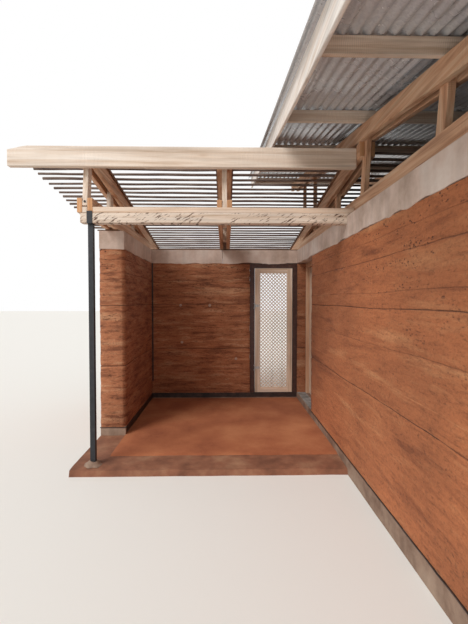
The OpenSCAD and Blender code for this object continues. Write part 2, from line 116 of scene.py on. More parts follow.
# Rammed earth: moist laterite beaten in thin layers between boards, so it is matt, banded and pitted.
# the darkest colour is painted shade, laid in the open seams and the pits
earthLook = {"body": "#a96c4a", "pale": "#c0906c", "dark": "#7f4c33", "hollowShade": "#42231a",
             "layerHeight": 0.06, "pitSize": 0.018, "grain": 170.0, "waver": 0.022,
             # height and strength of each level seam, and of the one pale seam
             "seams": ((0.912, 0.9), (1.34, 0.3), (1.637, 0.8), (1.76, 0.3), (2.03, 0.55), (2.19, 0.35)),
             "paleSeam": (1.055, 0.6), "seamCore": 0.001, "seamEdge": 0.0055,
             # repeats per metre along the wall and per layer upwards, detail, roughness, distortion
             "patterns": {"broad": (0.6, 0.3, 5.0, 0.62, 0.2), "thin": (2.6, 1.1, 6.0, 0.72, 0.25),
                          "hair": (11.0, 2.6, 5.0, 0.78, 0.3), "lump": (38.0, 3.3, 3.0, 0.7, 0.0),
                          "parted": (3.2, 0.3, 6.0, 0.75, 0.0), "cluster": (1.7, 0.6, 4.0, 0.65, 0.3)}}
sunnyEarthLook = dict(earthLook, body="#ab6740", pale="#c08459", dark="#7e462a")


def makeRammedEarth(name, look, banding, pitting):
    material, add, shader, place = startMaterial(name, 0.95)
    layers = 1/look["layerHeight"]
    pattern = {}
    for key, (sideways, upwards, detail, roughness, distortion) in look["patterns"].items():
        drawn = add("Mapping", {"Scale": (sideways, sideways, layers*upwards)}, {"Vector": place})
        pattern[key] = add("TexNoise", {"Scale": 1.0, "Detail": detail, "Roughness": roughness,
                                        "Distortion": distortion}, {"Vector": drawn})
    blotch = add("TexNoise", {"Scale": 1.1, "Detail": 4.0}, {"Vector": place})
    grain = add("TexNoise", {"Scale": look["grain"], "Detail": 3.0, "Roughness": 0.7}, {"Vector": place})
    tone = add("ValToRGB", {"stops": [(0.3, look["dark"]), (0.44, look["body"]),
                                      (0.57, look["body"]), (0.72, look["pale"])]}, {0: pattern["broad"]})
    for shade, stops in (("dark", [(0.39, banding), (0.48, 0.0)]), ("pale", [(0.54, 0.0), (0.64, 0.7*banding)])):
        share = add("ValToRGB", {"stops": stops}, {0: pattern["thin"]})
        tone = add("MixRGB", {"Color2": colour(look[shade])}, {"Fac": share, "Color1": tone})
    for source, strength, stops in (
            (pattern["hair"], 0.45 + 0.5*banding, [(0.36, 0.5), (0.45, 1.0), (0.58, 1.0), (0.68, 1.2)]),
            (blotch, 1.0, [(0.33, 0.8), (0.68, 1.1)])):
        depth = add("ValToRGB", {"stops": stops}, {0: source})
        tone = add("MixRGB", {"blend_type": "MULTIPLY", "Fac": strength}, {"Color1": tone, "Color2": depth})
    # the boards came off at each lift and left a level seam that is open in places; where it is open it is
    # painted dark as painted shade
    height = add("SeparateXYZ", {}, {0: place}).outputs[2]
    waver = add("MapRange", {1: 0.0, 2: 1.0, 3: -look["waver"], 4: look["waver"]}, {0: blotch})
    level = add("Math", {"operation": "ADD"}, {0: height, 1: waver})

    def near(z, strength):
        off = add("Math", {"operation": "SUBTRACT", 1: z}, {0: level})
        away = add("Math", {"operation": "ABSOLUTE"}, {0: off})
        return add("MapRange", {1: look["seamCore"], 2: look["seamEdge"], 3: strength, 4: 0.0}, {0: away})
    seam = near(*look["seams"][0])
    for z, strength in look["seams"][1:]:
        seam = add("Math", {"operation": "MAXIMUM"}, {0: seam, 1: near(z, strength)})
    opened = add("ValToRGB", {"stops": [(0.3, 0.4), (0.56, 1.0)]}, {0: pattern["parted"]})
    seam = add("Math", {"operation": "MULTIPLY"}, {0: seam, 1: opened})
    closed = add("ValToRGB", {"stops": [(0.4, 1.0), (0.6, 0.2)]}, {0: pattern["parted"]})
    paleSeam = add("Math", {"operation": "MULTIPLY"}, {0: near(*look["paleSeam"]), 1: closed})
    # pits a centimetre or two across where the mix was dry, in level clusters and mostly high up, painted dark as
    # painted shade
    cells = (0.5/look["pitSize"], 0.5/look["pitSize"], 0.9/look["pitSize"])
    pitPlace = add("Mapping", {"Scale": cells}, {"Vector": place})
    cell = add("TexVoronoi", {"Scale": 1.0, "Randomness": 1.0}, {"Vector": pitPlace})
    ragged = add("Math", {"operation": "MULTIPLY_ADD", 1: 0.9}, {0: pattern["lump"], 2: cell})
    pit = add("ValToRGB", {"stops": [(0.6, 1.0), (0.78, 0.0)]}, {0: ragged})
    where = add("ValToRGB", {"stops": [(0.53, 0.0), (0.6, pitting)]}, {0: pattern["cluster"]})
    high = add("MapRange", {1: 1.2, 2: 2.2, 3: 0.35, 4: 1.0}, {0: height})
    for share in (where, high):
        pit = add("Math", {"operation": "MULTIPLY"}, {0: pit, 1: share})
    # the open seams and the pits take the painted shade colour; the one pale seam takes the pale tone
    for shade, share in (("hollowShade", seam), ("pale", paleSeam), ("hollowShade", pit)):
        tone = add("MixRGB", {"Color2": colour(look[shade])}, {"Fac": share, "Color1": tone})
    for source, stops in ((pattern["lump"], [(0.33, 0.8), (0.45, 1.0), (0.7, 1.12)]),
                          (grain, [(0.3, 0.85), (0.7, 1.1)])):
        depth = add("ValToRGB", {"stops": stops}, {0: source})
        tone = add("MixRGB", {"blend_type": "MULTIPLY", "Fac": 1.0}, {"Color1": tone, "Color2": depth})
    relief = pattern["thin"]
    for source, amount in ((seam, -0.9), (pit, -0.9), (pattern["hair"], 0.35), (pattern["lump"], 0.3)):
        relief = add("Math", {"operation": "MULTIPLY_ADD", 1: amount}, {0: source, 2: relief})
    lumps = add("Bump", {"Strength": 0.55 + 0.45*banding, "Distance": 0.014}, {"Height": relief})
    fine = add("Bump", {"Strength": 0.4, "Distance": 0.002}, {"Height": grain, "Normal": lumps})
    feedShader(shader, {"Base Color": tone, "Normal": fine})
    return material


# Cast concrete or mortar, floated or struck by hand: matt, cloudy and streaked, with sand of 4 mm in it.
def makeConcrete(name, body, stain, dust, cloud=2.2):
    material, add, shader, place = startMaterial(name, 0.85)
    clouds = add("TexNoise", {"Scale": cloud, "Detail": 6.0, "Roughness": 0.65}, {"Vector": place})
    runs = add("Mapping", {"Scale": (9.0, 9.0, 0.8)}, {"Vector": place})
    run = add("TexNoise", {"Scale": 1.0, "Detail": 3.0}, {"Vector": runs})
    sand = add("TexNoise", {"Scale": 240.0, "Detail": 2.0}, {"Vector": place})
    tone = add("ValToRGB", {"stops": [(0.32, stain), (0.5, body), (0.7, dust)]}, {0: clouds})
    streaks = add("ValToRGB", {"stops": [(0.3, 0.84), (0.6, 1.05)]}, {0: run})
    mixed = add("MixRGB", {"blend_type": "MULTIPLY", "Fac": 0.7}, {"Color1": tone, "Color2": streaks})
    swell = add("Bump", {"Strength": 0.4, "Distance": 0.008}, {"Height": clouds})
    fine = add("Bump", {"Strength": 0.3, "Distance": 0.0015}, {"Height": sand, "Normal": swell})
    feedShader(shader, {"Base Color": mixed, "Normal": fine})
    return material


# Trodden earth floor: red laterite dust and 8 mm grit over a hard surface, so it is matt and uneven in tone.
def makeEarthFloor():
    material, add, shader, place = startMaterial("troddenEarth", 0.9)
    broad = add("TexNoise", {"Scale": 1.6, "Detail": 5.0, "Roughness": 0.6}, {"Vector": place})
    grit = add("TexNoise", {"Scale": 120.0, "Detail": 3.0, "Roughness": 0.7}, {"Vector": place})
    tone = add("ValToRGB", {"stops": [(0.3, "#8a4a2c"), (0.5, "#a4603c"), (0.72, "#b9784f")]}, {0: broad})
    speck = add("ValToRGB", {"stops": [(0.3, 0.85), (0.7, 1.1)]}, {0: grit})
    mixed = add("MixRGB", {"blend_type": "MULTIPLY", "Fac": 1.0}, {"Color1": tone, "Color2": speck})
    fine = add("Bump", {"Strength": 0.4, "Distance": 0.002}, {"Height": grit})
    feedShader(shader, {"Base Color": mixed, "Normal": fine})
    return material


# Rough sawn softwood: grain drawn out along the board, a few knots, and the saw's marks across it.
# the sawn tones are warmed to the orange this timber shows in shade: painted shade colour on top of its own tone
sawnTones = {"body": "#d6a683", "dark": "#aa7856", "pale": "#e9c9a8"}
# the pale tones are paler timber, and on the webs and the purlins painted light
paleTones = {"body": "#dfcab6", "dark": "#c2a68c", "pale": "#efe2d4"}
packTones = {"body": "#e4c9b0", "dark": "#c9a689", "pale": "#f0dfcf"}
endTones = {"body": "#cf9a6c", "dark": "#9c6c45", "pale": "#dcb087"}
# the barge tones are raised nearly to white: the boards' own pale timber, and partly a painted highlight
bargeTones = {"body": "#efe4da", "dark": "#d9c6b4", "pale": "#f7f1ea"}
doorTones = {"body": "#e0c5ac", "dark": "#c09e80", "pale": "#f0dccb"}
oldTones = {"body": "#7d5b42", "dark": "#543a2a", "pale": "#a2795a"}


def makeTimber(name, tones, along, roughness=0.75, saw=0.35, grain=26.0, flecks=0.0, knots=0.5):
    material, add, shader, place = startMaterial(name, roughness)
    drawnOut = []
    # the fibres and the year rings: repeats per metre across and along, detail, roughness, distortion
    for across, lengthwise, detail, rough, distortion in ((grain, 0.9, 6.0, 0.62, 0.5),
                                                          (grain*0.28, 0.35, 3.0, 0.5, 1.2)):
        scale = [across]*3
        scale[along] = lengthwise
        drawn = add("Mapping", {"Scale": scale}, {"Vector": place})
        drawnOut.append(add("TexNoise", {"Scale": 1.0, "Detail": detail, "Roughness": rough,
                                         "Distortion": distortion}, {"Vector": drawn}))
    fibre, ring = drawnOut
    cloud = add("TexNoise", {"Scale": 2.0, "Detail": 3.0}, {"Vector": place})
    tone = add("ValToRGB", {"stops": [(0.3, tones["dark"]), (0.48, tones["body"]),
                                      (0.7, tones["pale"])]}, {0: fibre})
    for source, strength, stops in ((ring, 0.7, [(0.38, 0.74), (0.46, 1.0), (0.54, 0.88), (0.62, 1.06)]),
                                    (cloud, 1.0, [(0.3, 0.84), (0.7, 1.08)])):
        depth = add("ValToRGB", {"stops": stops}, {0: source})
        tone = add("MixRGB", {"blend_type": "MULTIPLY", "Fac": strength}, {"Color1": tone, "Color2": depth})
    knotScale = [6.0]*3
    knotScale[along] = 1.6
    knotPlace = add("Mapping", {"Scale": knotScale}, {"Vector": place})
    knot = add("TexVoronoi", {"Scale": 1.0, "Randomness": 1.0}, {"Vector": knotPlace})
    share = add("ValToRGB", {"stops": [(0.03, knots), (0.1, 0.0)]}, {0: knot})
    tone = add("MixRGB", {"Color2": colour(tones["dark"])}, {"Fac": share, "Color1": tone})
    marks = add("TexWave", {"wave_type": "BANDS", "bands_direction": "XYZ"[along], "Scale": 26.0,
                            "Distortion": 5.0, "Detail": 2.0, "Detail Scale": 0.6}, {"Vector": place})
    sawn = add("ValToRGB", {"stops": [(0.15, 1 - saw), (0.5, 1.0)]}, {0: marks})
    some = add("ValToRGB", {"stops": [(0.45, 0.0), (0.6, 1.0)]}, {0: cloud})
    tone = add("MixRGB", {"blend_type": "MULTIPLY"}, {"Fac": some, "Color1": tone, "Color2": sawn})
    if flecks:  # slanting scars where the chain saw stood still
        leant = add("Mapping", {"Rotation": (0.0, 0.5, 0.0)}, {"Vector": place})
        turned = add("Mapping", {"Scale": (13.0, 6.0, 75.0)}, {"Vector": leant})
        scar = add("TexNoise", {"Scale": 1.0, "Detail": 3.0, "Roughness": 0.6}, {"Vector": turned})
        patch = add("Mapping", {"Scale": (7.0, 3.0, 3.0)}, {"Vector": place})
        where = add("TexNoise", {"Scale": 1.0, "Detail": 2.0, "Roughness": 0.6}, {"Vector": patch})
        cut = add("ValToRGB", {"stops": [(0.56, 0.0), (0.62, 1.0)]}, {0: scar})
        kept = add("ValToRGB", {"stops": [(0.38, 0.0), (0.5, flecks)]}, {0: where})
        share = add("Math", {"operation": "MULTIPLY"}, {0: cut, 1: kept})
        tone = add("MixRGB", {"Color2": colour("#5c402f")}, {"Fac": share, "Color1": tone})
    ridge = add("Bump", {"Strength": 0.5, "Distance": 0.002}, {"Height": fibre})
    fine = add("Bump", {"Strength": 0.4, "Distance": 0.0012}, {"Height": marks, "Normal": ridge})
    feedShader(shader, {"Base Color": tone, "Normal": fine})
    return material


# Young trees cut as poles, the bark left on: dull grey-brown with darker scars.
def makeBark():
    material, add, shader, place = startMaterial("poleBark", 0.85)
    length = add("Mapping", {"Scale": (3.0, 22.0, 22.0)}, {"Vector": place})
    fibre = add("TexNoise", {"Scale": 1.0, "Detail": 6.0, "Roughness": 0.7}, {"Vector": length})
    knots = add("TexVoronoi", {"Scale": 7.0}, {"Vector": place})
    tone = add("ValToRGB", {"stops": [(0.3, "#40322e"), (0.5, "#69564c"), (0.72, "#93877e")]}, {0: fibre})
    scar = add("ValToRGB", {"stops": [(0.06, 0.5), (0.16, 1.0)]}, {0: knots})
    mixed = add("MixRGB", {"blend_type": "MULTIPLY", "Fac": 0.8}, {"Color1": tone, "Color2": scar})
    bark = add("Bump", {"Strength": 0.6, "Distance": 0.004}, {"Height": fibre})
    feedShader(shader, {"Base Color": mixed, "Normal": bark})
    return material


# Hot-dip galvanised sheet: zinc spangle of about 12 mm and a dull bloom.
def makeZinc():
    material, add, shader, place = startMaterial("galvanisedSheet", 0.3, 0.4)
    spangle = add("TexVoronoi", {"Scale": 80.0}, {"Vector": place})
    bloom = add("TexNoise", {"Scale": 2.5, "Detail": 5.0, "Roughness": 0.6}, {"Vector": place})
    tone = add("ValToRGB", {"stops": [(0.0, "#c7cbd1"), (1.0, "#e1e4e9")]}, {0: spangle.outputs["Color"]})
    dull = add("ValToRGB", {"stops": [(0.35, 0.88), (0.65, 1.0)]}, {0: bloom})
    mixed = add("MixRGB", {"blend_type": "MULTIPLY", "Fac": 1.0}, {"Color1": tone, "Color2": dull})
    matt = add("MapRange", {1: 0.3, 2: 0.7, 3: 0.32, 4: 0.2}, {0: bloom})
    feedShader(shader, {"Base Color": mixed, "Roughness": matt})
    return material


# Mild steel under brushed dark paint, scuffed and dusty in patches.
def makePaintedSteel(name, deep, worn, dust):
    material, add, shader, place = startMaterial(name, 0.45)
    brush = add("TexNoise", {"Scale": 18.0, "Detail": 5.0, "Roughness": 0.7}, {"Vector": place})
    tone = add("ValToRGB", {"stops": [(0.35, deep), (0.6, worn), (0.8, dust)]}, {0: brush})
    matt = add("MapRange", {1: 0.3, 2: 0.7, 3: 0.35, 4: 0.6}, {0: brush})
    film = add("Bump", {"Strength": 0.2, "Distance": 0.001}, {"Height": brush})
    feedShader(shader, {"Base Color": tone, "Roughness": matt, "Normal": film})
    return material


# Zinc-plated steel hardware: pale, thinly plated and half bright.
def makePlatedSteel():
    material, add, shader, place = startMaterial("zincPlatedSteel", 0.38, 0.75)
    film = add("TexNoise", {"Scale": 60.0, "Detail": 4.0, "Roughness": 0.6}, {"Vector": place})
    tone = add("ValToRGB", {"stops": [(0.35, "#a5a7aa"), (0.7, "#d4d5d6")]}, {0: film})
    feedShader(shader, {"Base Color": tone})
    return material


# Bitumen felt strip: black under red dust, slightly glossy, creased.
def makeFelt():
    material, add, shader, place = startMaterial("bitumenFelt", 0.5)
    crease = add("TexNoise", {"Scale": 14.0, "Detail": 5.0}, {"Vector": place})
    tone = add("ValToRGB", {"stops": [(0.35, "#1b1513"), (0.7, "#43302a")]}, {0: crease})
    fold = add("Bump", {"Strength": 0.5, "Distance": 0.004}, {"Height": crease})
    feedShader(shader, {"Base Color": tone, "Normal": fold})
    return material


# What each piece may be finished in; a timber's last letter is the way its grain runs
finishes = {
    "earth": makeRammedEarth("rammedEarth", sunnyEarthLook, 0.35, 0.9),
    "bandedEarth": makeRammedEarth("rammedEarthBanded", earthLook, 0.95, 0.9),
    "ringConcrete": makeConcrete("ringBeamConcrete", "#ccb6a8", "#af9888", "#dccfc4"),
    "plugMortar": makeConcrete("tiePlugMortar", "#b59a86", "#8f7462", "#cbb5a4", 9.0),
    "plinthConcrete": makeConcrete("plinthConcrete", "#8c7361", "#6b5040", "#a38c79", 3.5),
    "slabConcrete": makeConcrete("slabConcrete", "#86563e", "#683f2b", "#9f7558", 3.0),
    "screed": makeConcrete("thresholdScreed", "#8a8682", "#625f5c", "#aca8a4", 7.0),
    "floor": makeEarthFloor(),
    "sawnY": makeTimber("sawnTimberDeep", sawnTones, 1),
    "sawnZ": makeTimber("sawnTimberUpright", sawnTones, 2),
    "paleX": makeTimber("paleAndPaintedLitTimberAcross", paleTones, 0, saw=0.2),
    # the upright pale timber is the webs' sawn timber painted lighter: painted sunlight
    "paleZ": makeTimber("paintedLitTimberUpright", paleTones, 2, saw=0.2),
    "beamX": makeTimber("chainsawnTimberAcross", paleTones, 0, saw=0.15, flecks=1.0),
    "packX": makeTimber("packingTimberAcross", packTones, 0, saw=0.1),
    "endGrain": makeTimber("endGrainTimber", endTones, 2, saw=0.0, knots=0.0),
    "bargeY": makeTimber("bargeTimberDeep", bargeTones, 1, saw=0.1),
    "doorX": makeTimber("planedTimberAcross", doorTones, 0, roughness=0.55, saw=0.0, grain=34.0),
    "doorZ": makeTimber("planedTimberUpright", doorTones, 2, roughness=0.55, saw=0.0, grain=34.0),
    "oldX": makeTimber("weatheredTimberAcross", oldTones, 0),
    "oldY": makeTimber("weatheredTimberDeep", oldTones, 1),
    "bark": makeBark(),
    "zinc": makeZinc(),
    "steel": makePaintedSteel("darkPaintedSteel", "#17191d", "#25272c", "#4d443c"),
    "brownSteel": makePaintedSteel("brownPaintedSteel", "#38201a", "#4b2e25", "#6b4c3e"),
    "plated": makePlatedSteel(),
    "felt": makeFelt(),
}
print("materials made:", len(finishes))

touch = 0.001  # places closer than this, in metres, count as one
weld = 0.0001  # a copied CAD mesh is joined where its points are closer than this


def finishPiece(name, mesh, finish, nodes=(), body="house", smooth=None):
    mesh.normal_update()
    piece = addMeshObject(name, mesh)
    data = piece.data
    if smooth is not None:  # shaded round, but for edges sharper than this angle
        data.polygons.foreach_set("use_smooth", [True]*len(data.polygons))
        data.set_sharp_from_angle(angle=smooth)
    for key in finish if isinstance(finish, list) else [finish]:
        data.materials.append(finishes[key])
    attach(piece, body)
    if nodes:
        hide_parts(*nodes)
    return piece


def pieceName(node, ending):  # side_plinths and Cast give SidePlinthsCast
    return node.replace("_", " ").title().replace(" ", "") + ending


def bakeModifiers(piece):
    depsgraph = bpy.context.evaluated_depsgraph_get()
    baked = bpy.data.meshes.new_from_object(piece.evaluated_get(depsgraph))
    piece.modifiers.clear()
    piece.data = baked
    return baked


def addBlock(mesh, low, high):
    low, high = Vector(low), Vector(high)
    made = bmesh.ops.create_cube(mesh, size=1.0)["verts"]
    bmesh.ops.scale(mesh, vec=high - low, verts=made)
    bmesh.ops.translate(mesh, vec=(high + low)/2, verts=made)
    return made


def addBar(mesh, turn, centre, depth, wide, narrow, sides):
    # a round or many-sided bar, laid flat by a quarter turn about X or Y
    made = bmesh.ops.create_cone(mesh, segments=sides, radius1=wide, radius2=narrow, depth=depth,
                                 cap_ends=True)["verts"]
    bmesh.ops.rotate(mesh, verts=made, cent=(0, 0, 0), matrix=Matrix.Rotation(math.pi/2, 3, turn))
    bmesh.ops.translate(mesh, verts=made, vec=centre)


def madeSince(mesh, start):
    mesh.verts.ensure_lookup_table()
    return mesh.verts[start:]


def edgesOf(verts):
    return list({edge for vert in verts for edge in vert.link_edges})


def uprightEdges(verts):  # the edges that rise by more than a metre
    return [e for e in edgesOf(verts) if abs(e.verts[0].co.z - e.verts[1].co.z) > 1]


def bevelEdges(mesh, edges, width, segments=1):
    bmesh.ops.bevel(mesh, geom=edges, offset=width, offset_type="OFFSET", segments=segments, profile=0.5,
                    affect="EDGES", material=-1, clamp_overlap=True)


def cutLengths(mesh, start, lengths):
    # cuts the edges of everything made since start, along each axis, into lengths of about that size
    for axis, length in enumerate(lengths):
        if not length:
            continue
        byCuts = {}
        for edge in edgesOf(madeSince(mesh, start)):
            span = edge.verts[1].co - edge.verts[0].co
            if abs(span[axis]) > 0.98*span.length and span.length > 1.6*length:
                byCuts.setdefault(round(span.length/length) - 1, []).append(edge)
        for cuts, edges in byCuts.items():
            bmesh.ops.subdivide_edges(mesh, edges=edges, cuts=cuts, use_grid_fill=True)


def drift(x, y, z):  # a smooth random value, from -1 to 1, at a place
    return noise.noise(Vector((x, y, z)))


def wear(mesh, start, depth, grain, seed=0.0, keep=()):
    # pushes the surface in and out by about depth; grain is the size of the unevenness along each axis
    mesh.normal_update()
    for vert in madeSince(mesh, start):
        p = vert.co
        swing = noise.fractal(Vector((p.x/grain[0] + seed, p.y/grain[1], p.z/grain[2])), 0.9, 2.0, 3)
        push = vert.normal*(depth*swing)
        for axis in keep:
            push[axis] = 0.0
        vert.co += push


# Floor slab and floors
groundWorks = {"slabStep": (0.08, 0.1, 0), "slabWear": 0.006, "slabLumps": (0.25, 0.25, 0.1), "lip": 0.02,
               "chipBack": 0.012, "chipDown": 0.008, "floorStep": (0.06, 0.06, 0), "floorBed": 0.004,
               "floorWaves": 0.003, "floorEdge": 0.03, "floorTail": 0.002, "roomStep": (0.3, 0.3, 0)}


def makeGroundWorks(look):
    mesh = bmesh.new()
    low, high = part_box("porch_slab")
    wingLow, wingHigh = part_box("wing_plinth")
    addBlock(mesh, low, (high.x, wingLow.y, high.z))
    cutLengths(mesh, 0, look["slabStep"])
    addBlock(mesh, (wingHigh.x, wingLow.y, low.z), high)
    wear(mesh, 0, look["slabWear"], look["slabLumps"], keep=(2,))
    for vert in mesh.verts:
        if vert.co.z > high.z - touch and vert.co.y < low.y + look["lip"]:
            vert.co.y += look["chipBack"]*(1 + noise.noise(vert.co*6.0))
            vert.co.z -= look["chipDown"]*(1 + noise.noise(vert.co*9.0))
    finishPiece("porchSlab", mesh, "slabConcrete", ["porch_slab"], smooth=0.7)

    mesh = bmesh.new()
    low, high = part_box("porch_floor")
    addBlock(mesh, (low.x, low.y, low.z - look["floorBed"]), high)
    cutLengths(mesh, 0, look["floorStep"])
    for vert in mesh.verts:
        p = vert.co
        if p.z > high.z - touch:
            p.z += look["floorWaves"]*drift(p.x*1.7, p.y*1.7, 0.0) - look["floorWaves"]
            if p.y < low.y + touch:  # the front edge thins out and wanders
                p.z = low.z + look["floorTail"]
                p.y += look["floorEdge"]*(drift(p.x*3.0, 0.3, 0.0) + 0.3*drift(p.x*14, 0, 0))
    finishPiece("porchEarthFloor", mesh, "floor", ["porch_floor"], smooth=0.7)

    mesh = bmesh.new()
    low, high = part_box("room_floor")
    addBlock(mesh, low, high)
    cutLengths(mesh, 0, look["roomStep"])
    for vert in mesh.verts:
        if vert.co.z > (low.z + high.z)/2:
            vert.co.z += look["floorWaves"]*noise.noise(vert.co*1.5) - look["floorWaves"]
    finishPiece("roomEarthFloor", mesh, "floor", ["room_floor"], smooth=0.7)


makeGroundWorks(groundWorks)

# Plinths, cast in boxes along the walls' feet
plinths = {"edge": 0.006, "unevenness": 0.0025, "lumps": (0.5, 0.5, 0.12), "step": (0.12, 0.12, 0.06)}


def makePlinths(look):
    for node in ("wing_plinth", "north_plinth", "south_plinth", "side_plinths"):
        mesh = bmesh.new()
        low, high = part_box(node)
        parts = [(low, high)]
        if node == "side_plinths":
            westHigh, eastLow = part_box("west_wall")[1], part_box("east_wall")[0]
            parts = [(low, (westHigh.x, high.y, high.z)), ((eastLow.x, low.y, low.z), high)]
        for a, b in parts:
            start = len(mesh.verts)
            verts = addBlock(mesh, a, b)
            topEdges = [e for e in edgesOf(verts) if min(v.co.z for v in e.verts) > high.z - touch]
            bevelEdges(mesh, topEdges, look["edge"], 2)
            cutLengths(mesh, start, look["step"])
            wear(mesh, start, look["unevenness"], look["lumps"], keep=(2,))
        finishPiece(pieceName(node, "Cast"), mesh, "plinthConcrete", [node], smooth=0.6)


makePlinths(plinths)

# Rammed earth walls: level layers with a hollow seam at each course of formwork
walls = {"layerStep": 0.03, "lengthStep": 0.09, "relief": 0.0045, "lumps": (0.55, 0.55, 0.055),
         "swell": 0.003, "seamDepth": 0.006, "seamCuts": (-0.008, 0.0, 0.008), "seamReach": 0.004,
         "overlap": 0.012, "arris": 0.008, "splay": 0.035}


def makeEarthWalls(look):
    for node in ("wing_wall", "north_wall", "west_wall", "south_wall", "east_wall"):
        low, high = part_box(node)
        spans = [(low, high)]
        if node == "north_wall":
            screenLow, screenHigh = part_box("screen_frame")
            spans = [(low, (screenLow.x, high.y, high.z)), ((screenHigh.x, low.y, low.z), high)]
        mesh = bmesh.new()
        for a, b in spans:
            a, b = Vector(a), Vector(b)
            if node == "wing_wall":
                b.y += look["overlap"]
            if node == "south_wall":
                a.x -= look["overlap"]
                b.x += look["overlap"]
            start = len(mesh.verts)
            upright = uprightEdges(addBlock(mesh, a, b))
            if node == "wing_wall":
                corner = [e for e in upright if e.verts[0].co.y < a.y + 0.01 and e.verts[0].co.x > b.x - 0.01]
                bevelEdges(mesh, corner, look["splay"])
                upright = uprightEdges(madeSince(mesh, start))
            bevelEdges(mesh, upright, look["arris"])
            cutLengths(mesh, start, (look["lengthStep"], look["lengthStep"], look["layerStep"]))
            for z, _ in earthLook["seams"]:
                for off in look["seamCuts"]:
                    bmesh.ops.bisect_plane(mesh, geom=[*mesh.verts, *mesh.edges, *mesh.faces],
                                           dist=0.0002, plane_co=(0, 0, z + off), plane_no=(0, 0, 1))
        mesh.normal_update()
        for vert in mesh.verts:
            p = vert.co.copy()
            across, deep, tall = look["lumps"]
            layer = noise.fractal(Vector((p.x/across, p.y/deep, p.z/tall)), 0.9, 2.0, 3)
            swell = drift(p.x*0.9, p.y*0.9, p.z*1.4)
            push = look["relief"]*(layer - 0.35) + look["swell"]*(swell - 0.5)
            for z, strength in earthLook["seams"]:
                if abs(p.z - z) < look["seamReach"]:
                    hollow = max(0.0, 0.6 + drift(p.x*2.2, p.y*2.2, z*7))
                    push -= strength*look["seamDepth"]*hollow
            vert.co += Vector((vert.normal.x, vert.normal.y, 0.0))*push
        finish = "bandedEarth" if node in ("wing_wall", "north_wall") else "earth"
        finishPiece(pieceName(node, "Rammed"), mesh, finish, [node], smooth=0.8)


makeEarthWalls(walls)
print("walls rammed")

# Ring beams: concrete cast on the finished walls, in lengths with a thin joint, its lower edge ragged
ringBeams = {"joint": 0.003, "arris": 0.004, "ragged": 0.022, "unevenness": 0.003, "lumps": (0.4, 0.4, 0.2),
             "lengthStep": 0.05, "heightStep": 0.055, "pocketSpare": 0.05,
             "joints": {"wing_ring_beam": (0.57,), "north_ring_beam": (-0.036, 2.1, 3.9),
                        "side_ring_beams": (-1.9,), "south_ring_beam": ()}}


def makeRingBeams(look):
    for node, joints in look["joints"].items():
        low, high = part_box(node)
        axis = 0 if node in ("north_ring_beam", "south_ring_beam") else 1
        rows = [(low, high)]
        if node == "side_ring_beams":
            westHigh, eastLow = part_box("west_wall")[1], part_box("east_wall")[0]
            rows = [(low, Vector((westHigh.x, high.y, high.z))), (Vector((eastLow.x, low.y, low.z)), high)]
        mesh = bmesh.new()
        for rowLow, rowHigh in rows:
            stops = [rowLow[axis]] + list(joints) + [rowHigh[axis]]
            for a, b in zip(stops[:-1], stops[1:]):
                one, two = Vector(rowLow), Vector(rowHigh)
                one[axis] = a + (look["joint"]/2 if a != rowLow[axis] else 0)
                two[axis] = b - (look["joint"]/2 if b != rowHigh[axis] else 0)
                start = len(mesh.verts)
                bevelEdges(mesh, edgesOf(addBlock(mesh, one, two)), look["arris"])
                lengths = [0, 0, look["heightStep"]]
                lengths[axis] = look["lengthStep"]
                cutLengths(mesh, start, lengths)
                wear(mesh, start, look["unevenness"], look["lumps"], keep=(2,))
                for vert in madeSince(mesh, start):
                    p = vert.co
                    if p.z < low.z + 0.01:
                        p.z += look["ragged"]*(drift(p.x*4, p.y*4, 1) + 0.5*drift(p.x*17, p.y*17, 2) + 0.1)
        piece = finishPiece(pieceName(node, "Cast"), mesh, "ringConcrete", [node], smooth=0.6)
        if node == "side_ring_beams":  # the beam's end sits in a pocket of the first length
            carvePocket(piece, low.x - look["pocketSpare"], high.z + look["pocketSpare"])


def carvePocket(piece, west, top):
    beamLow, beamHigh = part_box("front_beam")
    pocket = bmesh.new()
    addBlock(pocket, (west, beamLow.y, beamLow.z), (beamHigh.x, beamHigh.y, top))
    cutter = addMeshObject("pocketCutter", pocket)
    cut = piece.modifiers.new("pocket", "BOOLEAN")
    cut.operation, cut.object, cut.solver = "DIFFERENCE", cutter, "EXACT"
    bakeModifiers(piece)
    bpy.data.objects.remove(cutter)


makeRingBeams(ringBeams)

# Bitumen felt between plinth and wall, turned down over the plinth's face inside the porch
felt = {"thickness": 0.003, "lap": 0.007, "drop": 0.075, "step": 0.06, "ripple": 0.0025, "droop": 0.004,
        "cover": 0.004, "bite": 0.002, "setBack": 0.05, "shadeStripWidth": 0.02, "shadeStripFoot": 0.2,
        "turnedStep": (0.08, 0.08, 0.08), "creases": 0.0035, "creaseSize": (0.12, 0.12, 0.12)}


